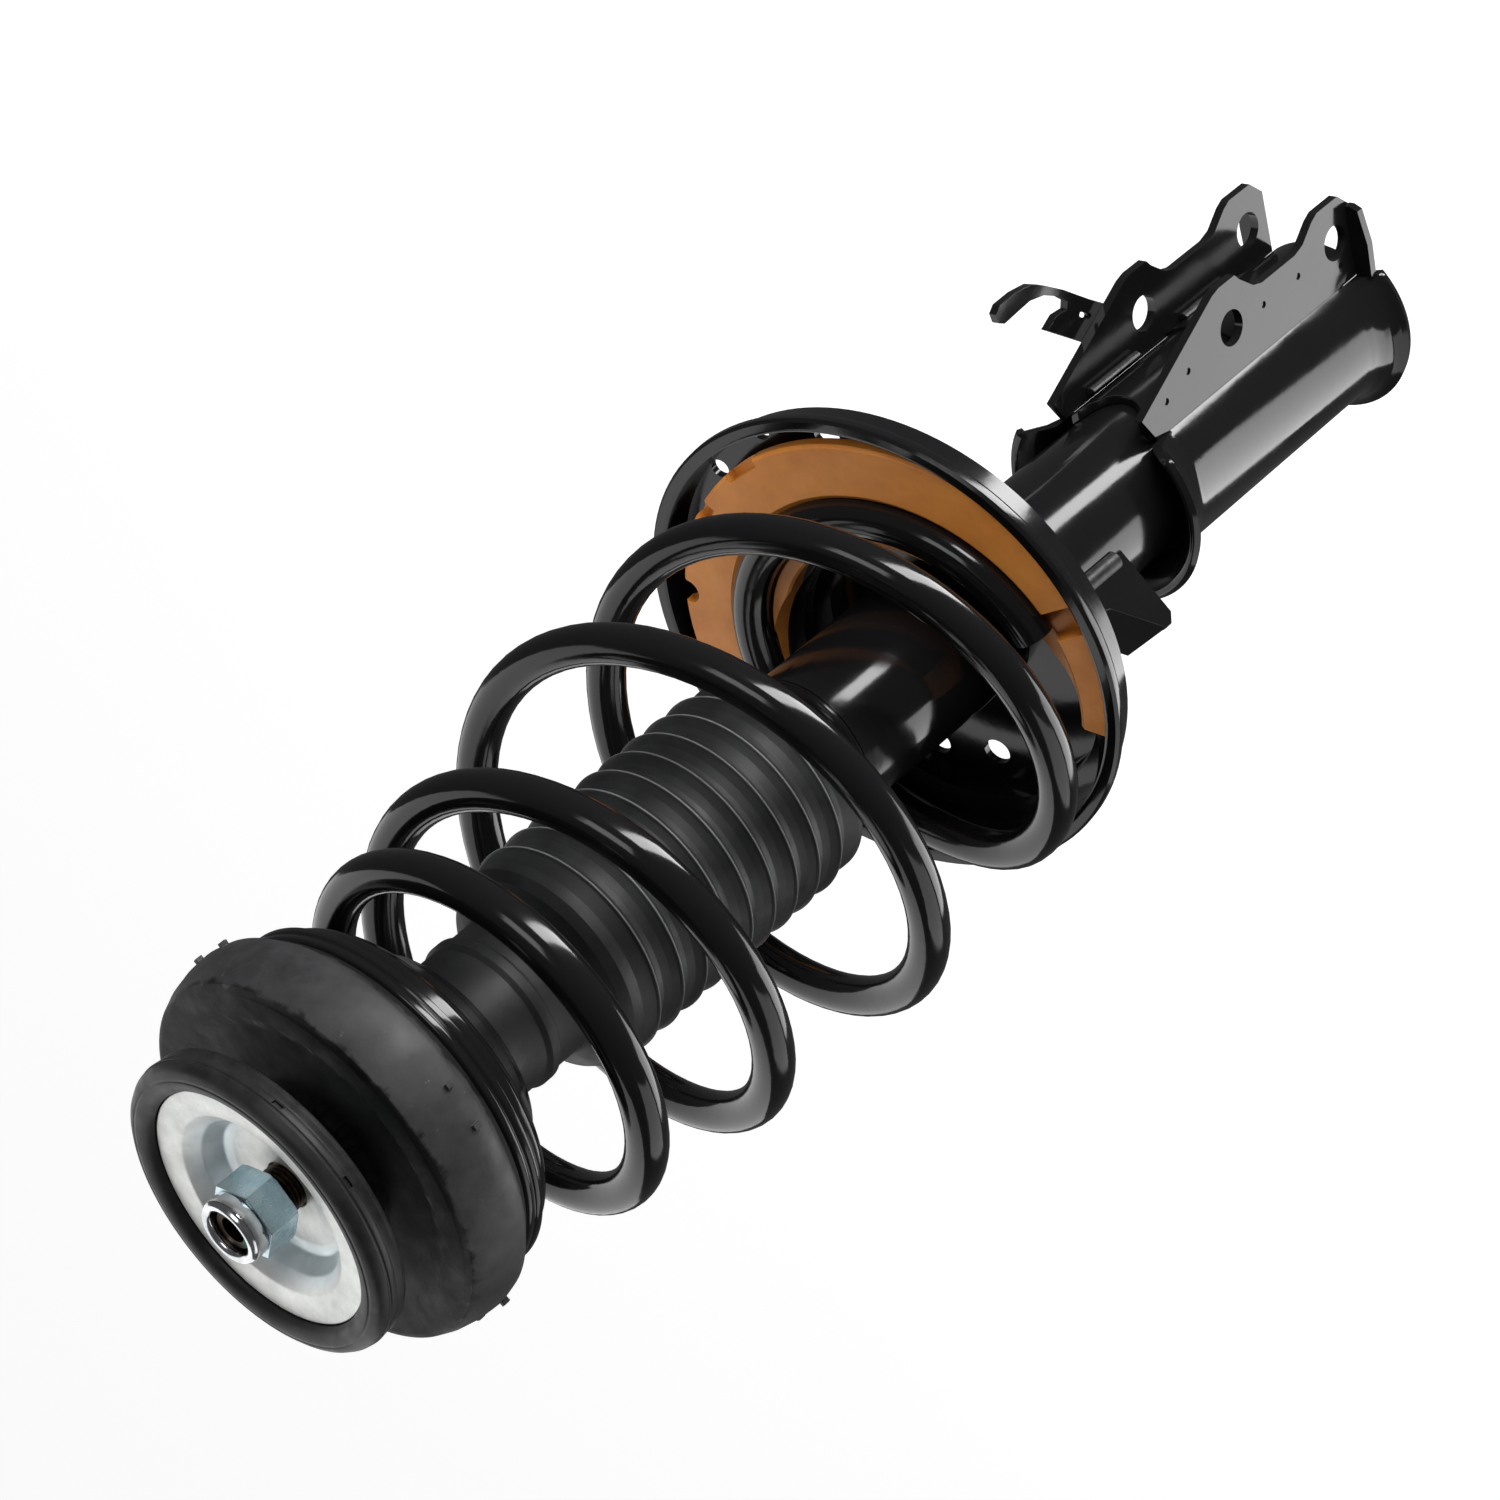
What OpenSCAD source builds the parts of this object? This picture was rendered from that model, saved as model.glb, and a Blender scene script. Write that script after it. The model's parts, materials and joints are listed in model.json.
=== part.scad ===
/* [Top mount] */
// Outer radius of the rubber mount at its widest
mount_r = 62; // [60:64]
// Height of the rubber mount
mount_h = 24.5; // [24:0.5:25]
// Radius of the pressed rebound plate
plate_r = 38.5; // [37:0.5:39]
// Width across the flats of the lock nut
nut_flats = 21; // [20:1:22]

/* [Upper seat and bearing] */
// Radius of the circle the bearing balls run on
ball_circle_r = 46; // [45:0.5:46]
// Number of bearing balls
ball_count = 28; // [20:1:30]

/* [Dust boot] */
// Radius over the ridges of the boot
boot_r = 35.2; // [34.8:0.1:35.4]
// Distance between ridges
boot_pitch = 10.2; // [10:0.1:10.3]
// Number of ridges
boot_ridges = 9; // [8:1:9]

/* [Coil spring] */
// Diameter of the spring wire
wire_d = 12.5; // [12:0.1:12.6]
// Sides of the swept wire
wire_sides = 12; // [8:1:14]
// Sweep steps in one turn
turn_steps = 36; // [24:4:40]

/* [Damper] */
// Outer diameter of the reservoir tube
tube_d = 50; // [49.8:0.1:50]
// Diameter of the piston rod
rod_d = 20; // [19.6:0.1:20]
// Bore of the pressure cylinder
bore_d = 32.1; // [32.1:0.01:32.15]

/* [Lower spring seat] */
// Radius of the seat dish over its rim
dish_r = 83.3; // [83:0.1:84]
// Lean of the seat dish in degrees
dish_lean = 7.4; // [7:0.1:7.6]
// Thickness of the pressed seat
dish_wall = 2.5; // [2:0.1:2.6]

/* [Clevis bracket] */
// Distance over the two ears
ear_span = 38.4; // [38:0.1:38.8]
// Thickness of an ear
ear_wall = 3.2; // [3:0.1:3.3]
// Radius of the bolt holes
bolt_hole_r = 6.1; // [5.9:0.05:6.5]
// Distance of the bolt holes from the strut axis
bolt_out = 37; // [36:0.5:38]

/* [Hidden] */
$fn = 96;
wire_r = wire_d / 2;
tube_r = tube_d / 2;
rod_r = rod_d / 2;
bore_r = bore_d / 2;
tube_top = -209;
tube_end = -485;
bolt_top = -421;
bolt_low = -481;
dish_z = -261.5;
dish_dir = -19.5;
dish_x = -7.4;
dish_y = 6.1;
groove_r = 55;
ear_out = ear_span / 2;
ear_in = ear_out - ear_wall;
plate_edge = plate_r + 0.3;
ramp_steps = 8;
ramp_step = 9.4;
ramp_gap = 0.35;

// ring drawn from an outer radius, an inner radius and two heights
module ring(ro, ri, z0, z1) {
  translate([0, 0, z0]) difference() {
    cylinder(r = ro, h = z1 - z0);
    translate([0, 0, -1]) cylinder(r = ri, h = z1 - z0 + 2);
  }
}

// frame of the leaning seat dish, with its origin on the strut axis
module dish_frame() {
  translate([0, 0, dish_z]) rotate([0, 0, dish_dir]) rotate([0, dish_lean, 0])
    rotate([0, 0, -dish_dir]) children();
}

// ---- top mount -------------------------------------------------------

module lock_nut() {
  color([0.72, 0.78, 0.80]) difference() {
    intersection() {
      translate([0, 0, 15.5]) cylinder(r = nut_flats / sqrt(3), h = 10.5, $fn = 6);
      translate([0, 0, 15.5]) cylinder(r1 = 11.2, r2 = 16.5, h = 3);
      translate([0, 0, 15.5]) cylinder(r = 12.05, h = 10.5);
    }
    translate([0, 0, 15]) cylinder(r = 7.05, h = 12);
  }
  color([0.72, 0.78, 0.80]) difference() {
    intersection() {
      translate([0, 0, 18.5]) cylinder(r = nut_flats / sqrt(3), h = 7.5, $fn = 6);
      translate([0, 0, 18.5]) cylinder(r = 12.05, h = 7.5);
    }
    translate([0, 0, 18]) cylinder(r = 7.05, h = 9);
  }
}

module nut_collar() {
  color([0.75, 0.77, 0.78]) rotate_extrude()
    polygon([[7.1, 26], [10.2, 26], [10.2, 30.6], [9.3, 32], [8.2, 32], [7.1, 31]]);
}

module rebound_plate() {
  color([0.80, 0.82, 0.82]) rotate_extrude()
    polygon([[7.2, 6.5], [21.5, 6.5], [24.5, 8], [27.5, 13.5], [30.5, 16.6], [plate_r, 17.6],
      [plate_r, 20], [29.8, 19.2], [25.6, 15.4], [22.6, 10.2], [20.4, 9], [7.2, 9]]);
}

module plate_rim() {
  color([0.10, 0.10, 0.11]) difference() {
    rotate_extrude()
      polygon([[33.6, 14.4], [38, 12.6], [43, 11.4], [45.6, 11.6], [47, 12.6], [47.5, 14],
        [46.9, 15.2], [46.9, 15.8], [47.6, 16.8], [47.8, 18.4], [47.4, 20.2], [46.4, 21.8],
        [44.8, 22.9], [42.8, 23.2], [41, 22.8], [39.6, 21.8], [38.6, 20.4], [plate_edge, 20.2],
        [plate_edge, 17.4], [33.6, 16.8]]);
    for (a = [28, 61]) rotate([0, 0, a]) translate([47.6, 0, 17.4]) cube([2, 3.4, 1.6], center = true);
  }
}

module mount_rubber() {
  color([0.11, 0.11, 0.12]) difference() {
    union() {
      rotate_extrude()
        polygon([[13.05, 0], [22, 0], [27, -2.6], [44, -2.6], [49, -0.6], [56.4, 0],
          [58.6, -1], [60.4, -5], [mount_r - 0.4, -10], [mount_r, -15], [mount_r - 0.8, -19],
          [58, -mount_h + 2], [56.5, -mount_h], [13.05, -mount_h]]);
      for (a = [21, 33, 116, 132, 205, 222, 300, 316]) rotate([0, 0, a])
        translate([mount_r - 0.9, -0.8, -16.4]) cube([2.2, 1.6, 2.4]);
    }
    ring(34.1, 10, -12.1, -8.9);
  }
}

module mount_sleeve() {
  color([0.35, 0.36, 0.38]) ring(13, 7.2, -24, 6.4);
}

module mount_insert() {
  color([0.30, 0.31, 0.33]) ring(34, 13.1, -12, -9);
}

module bearing_cover() {
  color([0.05, 0.05, 0.06]) rotate_extrude()
    polygon([[14, -24.6], [55.2, -24.6], [56.8, -25.8], [56.8, -27.4], [56, -28.2], [56.8, -29],
      [56.8, -31], [54.3, -31], [54.3, -28.2], [51.1, -28.2], [14, -28.2]]);
}

module upper_race() {
  color([0.45, 0.46, 0.48]) difference() {
    ring(50.6, 41.4, -31.2, -28.3);
    rotate_extrude() translate([ball_circle_r, -32.6]) circle(r = 2.5, $fn = 40);
  }
}

module bearing_balls() {
  color([0.7, 0.71, 0.73]) for (i = [0:ball_count - 1]) rotate([0, 0, i * 360 / ball_count])
    translate([ball_circle_r, 0, -32.6]) sphere(r = 2.2, $fn = 20);
}

module ball_cage() {
  color([0.16, 0.17, 0.2]) difference() {
    ring(49.4, 42.6, -33.2, -32);
    for (i = [0:ball_count - 1]) rotate([0, 0, i * 360 / ball_count])
      translate([ball_circle_r, 0, -34]) cylinder(r = 2.24, h = 3, $fn = 24);
  }
}

module lower_race() {
  color([0.45, 0.46, 0.48]) difference() {
    ring(50.6, 41.4, -36.9, -34);
    rotate_extrude() translate([ball_circle_r, -32.6]) circle(r = 2.5, $fn = 40);
  }
}

// ---- rod and piston ---------------------------------------------------

module piston_rod() {
  color([0.74, 0.75, 0.77]) difference() {
    rotate_extrude()
      polygon([[0, 29.4], [6.1, 29.4], [7, 28.4], [7, -24.2], [rod_r, -24.2], [rod_r, -251.8],
        [rod_r - 1.2, -251.8], [rod_r - 1.2, -254.6], [rod_r, -254.6], [rod_r, -272],
        [6, -272], [6, -305], [5, -306], [0, -306]]);
    translate([0, 0, 21]) cylinder(r = 4.05, h = 10, $fn = 6);
  }
}

module bumper_stop() {
  color([0.5, 0.5, 0.52]) ring(14.6, rod_r - 1.15, -254.5, -251.9);
}

module rebound_bumper() {
  color([0.13, 0.13, 0.13]) rotate_extrude()
    polygon([[rod_r + 0.05, -243.5], [13.4, -243.5], [14.6, -245], [14.6, -251.8],
      [rod_r + 0.05, -251.8]]);
}

module piston() {
  color([0.40, 0.40, 0.42]) difference() {
    ring(15.6, 6.02, -294, -274.6);
    ring(17, 15, -289.5, -279.5);
    for (a = [0:45:315]) rotate([0, 0, a]) translate([10.6, 0, -296])
      cylinder(r = 1.6, h = 24, $fn = 24);
  }
}

module piston_band() {
  color([0.2, 0.3, 0.28]) ring(bore_r - 0.06, 15.02, -289.4, -279.6);
}

module upper_shims() {
  color([0.6, 0.61, 0.63]) union() {
    ring(13.4, 6.02, -274.5, -273.9);
    ring(12, 6.02, -273.9, -273.3);
    ring(10, 6.02, -273.3, -272.1);
  }
}

module lower_shims() {
  color([0.6, 0.61, 0.63]) union() {
    ring(13.4, 6.02, -294.7, -294.1);
    ring(12, 6.02, -295.3, -294.7);
    ring(10, 6.02, -296.3, -295.3);
  }
}

module piston_nut() {
  color([0.55, 0.56, 0.58]) difference() {
    translate([0, 0, -304.4]) cylinder(r = 10.2, h = 8, $fn = 6);
    translate([0, 0, -305]) cylinder(r = 6.02, h = 10);
  }
}

// ---- upper seat, boot and bump stop -----------------------------------

module upper_seat_shell() {
  color([0.04, 0.04, 0.05]) rotate_extrude()
    polygon([[53.7, -31.2], [53.7, -35.4], [51.4, -38], [46, -41.6], [38, -47.8], [34.6, -51.6],
      [31, -53], [15, -53], [15, -50.2], [30, -50.2], [32.2, -49], [36, -44.6], [38.8, -41.8],
      [38.8, -37], [51, -37], [51.3, -31.2]]);
}

// sloping step on the far side of the seat that the last half turn bears on
module seat_ramp() {
  color([0.08, 0.08, 0.09]) difference() {
    rotate([0, 0, 166]) rotate_extrude(angle = 74)
      polygon([[47.6, -40.9], [50.4, -39.1], [56.6, -39.1], [56.6, -56], [47.6, -56]]);
    for (k = [0:ramp_steps - 1]) rotate([0, 0, 165.6 + k * ramp_step]) rotate_extrude(angle = ramp_step + 0.4)
      polygon([[40, ramp_under(k)], [70, ramp_under(k)], [70, -75], [40, -75]]);
  }
}

module bump_stop() {
  color([0.62, 0.44, 0.16]) rotate_extrude()
    polygon([[rod_r + 0.6, -53.1], [17.6, -53.1], [18.4, -56], [18.4, -66], [15.8, -69.5],
      [18, -73], [18, -81], [15.4, -84.5], [17.2, -88], [17.2, -96], [14.4, -99.5], [15.4, -103],
      [14.6, -111], [12.4, -116], [rod_r + 0.6, -116]]);
}

module dust_boot() {
  first = -105;
  last = first - boot_pitch * (boot_ridges - 1);
  outer = concat(
    [[26.6, -53.1], [26.6, -55.4], [23.4, -57.6], [23.4, -70], [24.6, -71.4], [24.6, -74.4],
      [23.4, -75.8], [23.4, -86.5], [25.2, -89.5], [31.6, -92.6], [33.6, -95.6], [33.4, -99.6]],
    [for (k = [0:boot_ridges - 1]) for (q = [[boot_r, 1.1], [boot_r, -0.5], [31.9, -4.6],
      [32.6, -8]]) [q[0], first - boot_pitch * k + q[1]]],
    [[33.8, last - 9.6], [33.8, last - 11.4]]);
  inner = [for (i = [len(outer) - 1:-1:0]) [outer[i][0] - 2.1 - (i < 11 ? 0.4 : 0), outer[i][1]]];
  color([0.12, 0.12, 0.13]) rotate_extrude() polygon(concat(outer, inner));
}

// ---- damper tube ---------------------------------------------------------

module outer_tube() {
  color([0.05, 0.05, 0.06]) ring(tube_r, tube_r - 2.3, tube_end, tube_top - 4.1);
}

module tube_cap() {
  color([0.06, 0.06, 0.07]) rotate_extrude()
    polygon([[11, tube_top], [19.6, tube_top], [23, tube_top - 0.9], [24.6, tube_top - 2.6],
      [tube_r, tube_top - 4], [22.6, tube_top - 4], [20.4, tube_top - 2.8], [11, tube_top - 2.8]]);
}

module base_cap() {
  color([0.05, 0.05, 0.06]) rotate_extrude()
    polygon([[0, tube_end + 4], [18, tube_end + 4], [22.6, tube_end + 8], [22.6, tube_end + 0.6],
      [21.4, tube_end - 1.4], [17, tube_end - 3], [0, tube_end - 4.2]]);
}

module rod_seal() {
  color([0.1, 0.1, 0.1]) rotate_extrude()
    polygon([[rod_r + 0.35, tube_top - 3.2], [14.5, tube_top - 3.2], [18, tube_top - 4.4],
      [22.4, tube_top - 4.4], [22.4, tube_top - 8.6], [16, tube_top - 8.6], [15, tube_top - 11],
      [rod_r + 0.35, tube_top - 11]]);
}

module rod_guide() {
  color([0.52, 0.52, 0.54]) rotate_extrude()
    polygon([[11.6, tube_top - 12], [16.4, tube_top - 12], [16.4, tube_top - 8.8],
      [22.5, tube_top - 8.8], [22.5, tube_top - 22], [17.7, tube_top - 24], [17.7, tube_top - 27],
      [16, tube_top - 27], [16, tube_top - 34], [11.6, tube_top - 34]]);
}

module guide_bush() {
  color([0.5, 0.4, 0.25]) ring(11.58, rod_r + 0.04, tube_top - 33, tube_top - 13);
}

module inner_cylinder() {
  color([0.55, 0.56, 0.58]) ring(17.7, bore_r, -455, tube_top - 27.1);
}

module base_valve() {
  color([0.48, 0.48, 0.5]) difference() {
    rotate_extrude()
      polygon([[0, -452], [bore_r - 0.1, -452], [bore_r - 0.1, -455.1], [20.4, -455.1],
        [22.2, -462], [22.2, -470], [19, -470], [19, -466], [8, -462], [0, -462]]);
    for (a = [0:60:300]) rotate([0, 0, a]) translate([11, 0, -466])
      cylinder(r = 1.5, h = 18, $fn = 24);
  }
}

module base_spring() {
  color([0.6, 0.61, 0.63]) ring(13, 3, -451.9, -451.1);
}

// ---- lower seat ----------------------------------------------------------

// outline of the pressed dish, measured in the leaning frame
module dish_solid(grow) {
  translate([dish_x, dish_y, 0]) rotate_extrude()
    polygon([[0, 4 * grow], [81.2 - dish_wall * grow, 4 * grow], [81.2 - dish_wall * grow, -2],
      [79.6 - dish_wall * grow, -12 + dish_wall * grow], [0, -12 + dish_wall * grow]]);
}

module bowl_solid(cx, cy, r0, r1, depth, wall) {
  translate([cx, cy, -depth + wall]) cylinder(r1 = r1 - wall, r2 = r0 - wall, h = depth);
}

module lower_seat() {
  color([0.04, 0.04, 0.05]) difference() {
    union() {
      dish_frame() difference() {
        union() {
          dish_solid(0);
          translate([dish_x, dish_y, 0]) rotate_extrude()
            polygon([[78, 0], [81.2, -2.6], [81.2, -3.4], [82.6, -3.4], [dish_r, -2.2],
              [dish_r, 0], [82.4, 1], [80, 1], [78.6, 0.4]]);
          intersection() {
            bowl_solid(3, -17, 59, 57.5, 20.5, 0);
            translate([0, 0, -40]) cylinder(r = 120, h = 39);
          }
          intersection() {
            bowl_solid(4, -11, 56, 52.5, 29.5, 0);
            translate([0, 0, -40]) cylinder(r = 120, h = 39);
          }
        }
        dish_solid(1);
        bowl_solid(3, -17, 59, 57.5, 20.5, dish_wall);
        bowl_solid(4, -11, 56, 52.5, 29.5, dish_wall);
        translate([-13, 77, -16]) cylinder(r = 4.6, h = 12);
        translate([-38, 76, -16]) cylinder(r = 3.2, h = 12);
        translate([-58, 60, -16]) cylinder(r = 3.2, h = 12);
        translate([18, 70, -16]) cylinder(r = 3.2, h = 12);
        translate([-17, -51, -34]) cylinder(r = 4.2, h = 12);
        translate([5, -51, -34]) cylinder(r = 4.6, h = 12);
      }
    }
    translate([0, 0, -400]) cylinder(r = tube_r + 0.05, h = 300);
  }
}

// welded hub under the dish
module seat_hub() {
  color([0.05, 0.05, 0.06]) difference() {
    translate([0, 0, -304]) rotate_extrude()
      polygon([[tube_r + 0.05, 0], [26.6, 0], [28.6, 4], [31, 18], [tube_r + 0.05, 18]]);
    dish_frame() translate([0, 0, -29.55]) cylinder(r = 60, h = 60);
  }
}

module insulator() {
  color([0.74, 0.46, 0.14]) difference() {
    dish_frame() difference() {
      intersection() {
        rotate([0, 0, -12]) rotate_extrude(angle = 216)
          polygon([[43.6, -9.45], [76, -9.45], [80.6, -4], [80.6, -0.6], [79.6, 0.3], [63, 0.3],
            [61.4, -0.9], [49.4, -2.6], [48.4, -1.4], [44.4, -1.4], [43.6, -2.2]]);
        translate([dish_x, dish_y, -9.46]) cylinder(r1 = 76.9, r2 = 78.6, h = 10.4);
      }
      rotate_extrude() translate([groove_r, 0]) circle(r = wire_r + 0.2);
      rotate([0, 0, 22]) translate([58, -5, -6]) cube([30, 10, 12]);
      rotate([0, 0, 167]) translate([79.6, 0, -12]) cylinder(r = 4.5, h = 20);
      rotate([0, 0, 141]) translate([76, -4, -4.2]) cube([12, 8, 12]);
      rotate([0, 0, 122]) translate([77.5, -7, -4.2]) cube([12, 14, 12]);
      bowl_solid(3, -17, 59, 57.5, 20.5, dish_wall - 0.05);
      bowl_solid(4, -11, 56, 52.5, 29.5, dish_wall - 0.05);
    }
  }
}

// ---- coil spring ---------------------------------------------------------

// height and radius of the wire centre at each half turn above the lower seat
coil_rows = [[-0.5, -258, 55], [0, -254.5, 66], [0.5, -211, 73], [1, -185, 71.5],
  [1.5, -149, 72.5], [2, -119, 66.5], [2.5, -92, 60], [3, -69, 58.5], [3.5, -62, 55.5],
  [4, -58, 53]];
coil_from = -0.8;
coil_to = 3.8;

function row_at(i, c) = coil_rows[max(0, min(len(coil_rows) - 1, i))][c];
function curve(t, c) = let (x = (t + 0.5) * 2, i = floor(x), u = x - i,
  a = row_at(i - 1, c), b = row_at(i, c), d = row_at(i + 1, c), e = row_at(i + 2, c))
  b + 0.5 * u * (d - a + u * (2 * a - 5 * b + 4 * d - e + u * (3 * (b - d) + e - a)));
function ease(u) = let (v = max(0, min(1, u))) v * v * (3 - 2 * v);
function coil_angle(t) = 309 + 360 * t;
function coil_lean(t) = 1.6 * max(0, t);
function coil_r(t) = t < -0.3 ? groove_r : groove_r + (curve(t, 2) - groove_r) * ease((t + 0.3) / 0.3);
function dish_plane(x, y) = dish_z - tan(dish_lean) * (x * cos(dish_dir) + y * sin(dish_dir));
function coil_x(t) = coil_lean(t) + coil_r(t) * cos(coil_angle(t));
function coil_y(t) = coil_r(t) * sin(coil_angle(t));
function coil_z(t) = let (w = ease((t + 0.28) / 0.3))
  (1 - w) * dish_plane(coil_x(t), coil_y(t)) + w * curve(t, 1);
function coil_at(t) = [coil_x(t), coil_y(t), coil_z(t)];
function unit(v) = v / norm(v);
// turn of the coil that passes an angle on its last half turn, and the ramp's height over it
function ramp_turn(angle) = (angle + 1080 - 309 + 360) / 360;
function ramp_under(k) = coil_z(ramp_turn(165.6 + (k + 1) * ramp_step + 0.4)) + wire_r + ramp_gap;

module coil_spring() {
  n = round((coil_to - coil_from) * turn_steps);
  pts = [for (i = [0:n]) let (t = coil_from + (coil_to - coil_from) * i / n,
    p = coil_at(t), d = unit(coil_at(t + 0.01) - coil_at(t - 0.01)),
    side = unit([cos(coil_angle(t)), sin(coil_angle(t)), 0] -
      d * (d * [cos(coil_angle(t)), sin(coil_angle(t)), 0])),
    up = cross(d, side))
    for (k = [0:wire_sides - 1]) p + wire_r * (cos(k * 360 / wire_sides) * side +
      sin(k * 360 / wire_sides) * up)];
  last = n * wire_sides;
  faces = concat(
    [for (i = [0:n - 1]) for (k = [0:wire_sides - 1]) let (m = (k + 1) % wire_sides)
      [i * wire_sides + k, i * wire_sides + m, (i + 1) * wire_sides + m,
        (i + 1) * wire_sides + k]],
    [[for (k = [wire_sides - 1:-1:0]) k]],
    [[for (k = [0:wire_sides - 1]) last + k]]);
  color([0.05, 0.05, 0.06]) polyhedron(points = pts, faces = [for (f = faces)
    [for (j = [len(f) - 1:-1:0]) f[j]]], convexity = 10);
}

// ---- clevis bracket --------------------------------------------------------

// side view of one ear: distance from the strut axis, then height
module ear_outline() {
  difference() {
    polygon([[17.9, -377], [30.5, -369.5], [52, -414], [53, -418], [53, -427], [50.5, -429],
      [45, -435.5], [43.6, -440], [43.6, -459], [45, -464], [50, -470.5], [51.6, -474],
      [51.6, -486], [46, -492], [17.9, -492]]);
    translate([bolt_out, bolt_top]) circle(r = bolt_hole_r);
    translate([bolt_out, bolt_low]) circle(r = bolt_hole_r);
  }
}

module ear_plate() {
  rotate([90, 0, 90]) linear_extrude(ear_wall) ear_outline();
}

// lip folded outwards along the lower end of an ear
module ear_lip() {
  translate([ear_out - 0.01, 21, -492]) linear_extrude(2.8)
    polygon([[0, 0], [6.4, 0], [6.8, 12], [4.8, 24], [2, 25.5], [0, 25.5]]);
}

module ear_right() {
  color([0.05, 0.05, 0.06]) difference() {
    union() {
      translate([ear_in, 0, 0]) ear_plate();
      ear_lip();
    }
    translate([0, 0, -510]) cylinder(r = 28.3, h = 160);
    for (q = [[30.5, -383], [34.5, -396], [36, -439], [36, -459], [28, -482]])
      translate([ear_out - 0.6, q[0], q[1]]) rotate([0, 90, 0]) cylinder(r = 1.2, h = 2, $fn = 24);
  }
}

module ear_left() {
  color([0.05, 0.05, 0.06]) difference() {
    union() {
      translate([-ear_out, 0, 0]) ear_plate();
      mirror([1, 0, 0]) ear_lip();
    }
    translate([0, 0, -510]) cylinder(r = 28.3, h = 160);
  }
}

// back of the bracket around the tube, flared at both ends
module clevis_wrap() {
  color([0.05, 0.05, 0.06]) difference() {
    union() {
      ring(28.25, tube_r + 0.05, -486, -378);
      rotate_extrude()
        polygon([[tube_r + 0.05, -382], [28.25, -382], [31, -372], [35, -366.4], [36.6, -367.6],
          [37.4, -366], [35.4, -363.6], [30.4, -368.4], [27.6, -373], [tube_r + 0.05, -379]]);
      rotate_extrude()
        polygon([[tube_r + 0.05, -478], [28.25, -478], [28.9, -484], [31.2, -490.4], [34, -493],
          [33.2, -495.4], [29.6, -493.2], [27.4, -490], [tube_r + 0.05, -486]]);
    }
    translate([-ear_out - 0.05, 0, -510]) cube([ear_span + 0.1, 60, 160]);
    translate([-60, 20.7, -510]) cube([120, 60, 160]);
  }
}

module clevis_brace() {
  color([0.05, 0.05, 0.06]) difference() {
    intersection() {
      union() {
        ring(28.25, tube_r + 0.05, -494, -376);
        ring(29.6, tube_r + 0.05, -470, -430);
      }
      translate([-ear_in + 0.05, 17.7, -510]) cube([2 * ear_in - 0.1, 40, 160]);
    }
    translate([0, 40, -372]) rotate([90, 0, 0]) cylinder(r = 13, h = 30);
  }
}

module clevis_welds() {
  color([0.07, 0.07, 0.08]) difference() {
    for (sx = [-1, 1]) for (z = [-412, -464]) translate([sx * (ear_in - 1.6), 25.9, z])
      cylinder(r = 2.1, h = 26);
    translate([0, 0, -510]) cylinder(r = 29.65, h = 160);
    for (sx = [-1, 1]) translate([sx * (ear_in + 9.98), 0, -440]) cube([20, 80, 120], center = true);
  }
}

module hose_bracket() {
  color([0.05, 0.05, 0.06]) difference() {
    translate([-ear_out - 3.1, 0, 0]) rotate([90, 0, 90]) linear_extrude(3) difference() {
      polygon([[27, -394], [39, -395], [53, -377.5], [55.5, -383], [55, -388.5], [57.5, -389.5],
        [61, -386], [65, -379], [66.6, -372], [66.2, -366], [65.6, -358.5], [67, -356],
        [70.4, -355.4], [72.4, -358], [72.6, -366], [71.4, -374], [68, -380], [62, -388.6],
        [53, -399.5], [45, -410], [27, -418]]);
      translate([48.6, -396.4]) rotate(-35) {
        square([1.8, 4.6], center = true);
        for (e = [-2.3, 2.3]) translate([0, e]) circle(r = 0.9, $fn = 24);
      }
    }
    translate([0, 0, -510]) cylinder(r = 25.1, h = 160);
  }
}

// frame of the link bracket, with its first axis out along the bracket
module link_frame() {
  rotate([0, 0, 309]) children();
}

module link_bracket() {
  color([0.05, 0.05, 0.06]) difference() {
    link_frame() union() {
      translate([0, 20.4, 0]) rotate([90, 0, 0]) linear_extrude(2.8)
        polygon([[8, -306], [8, -338.5], [10, -341], [40, -341], [43, -338], [43, -335.4],
          [27, -322.6], [22, -306]]);
      translate([0, 20.4, 0]) rotate([90, 0, 0]) linear_extrude(24)
        polygon([[43, -335.4], [27, -322.6], [25.3, -324.8], [41.3, -337.6]]);
    }
    translate([0, 0, -400]) cylinder(r = tube_r + 0.05, h = 300);
  }
}

module link_weld() {
  color([0.07, 0.07, 0.08]) difference() {
    link_frame() translate([16.2, 19.2, -337]) cylinder(r = 3.4, h = 30);
    translate([0, 0, -400]) cylinder(r = tube_r + 0.05, h = 300);
    link_frame() translate([7, 17.55, -400]) cube([40, 2.9, 200]);
  }
}

lock_nut();
nut_collar();
rebound_plate();
plate_rim();
mount_rubber();
mount_sleeve();
mount_insert();
bearing_cover();
upper_race();
piston_rod();
bumper_stop();
rebound_bumper();
piston();
piston_band();
upper_shims();
lower_shims();
piston_nut();
bearing_balls();
ball_cage();
lower_race();
upper_seat_shell();
seat_ramp();
bump_stop();
dust_boot();
outer_tube();
tube_cap();
base_cap();
rod_seal();
rod_guide();
guide_bush();
inner_cylinder();
base_valve();
base_spring();
lower_seat();
seat_hub();
insulator();
coil_spring();
ear_right();
ear_left();
clevis_wrap();
clevis_brace();
clevis_welds();
hose_bracket();
link_bracket();
link_weld();
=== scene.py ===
"""Strut assembly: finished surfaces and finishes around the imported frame, in metres."""

import json
import math

import bmesh
import bpy
from mathutils import Matrix, Vector


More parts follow.
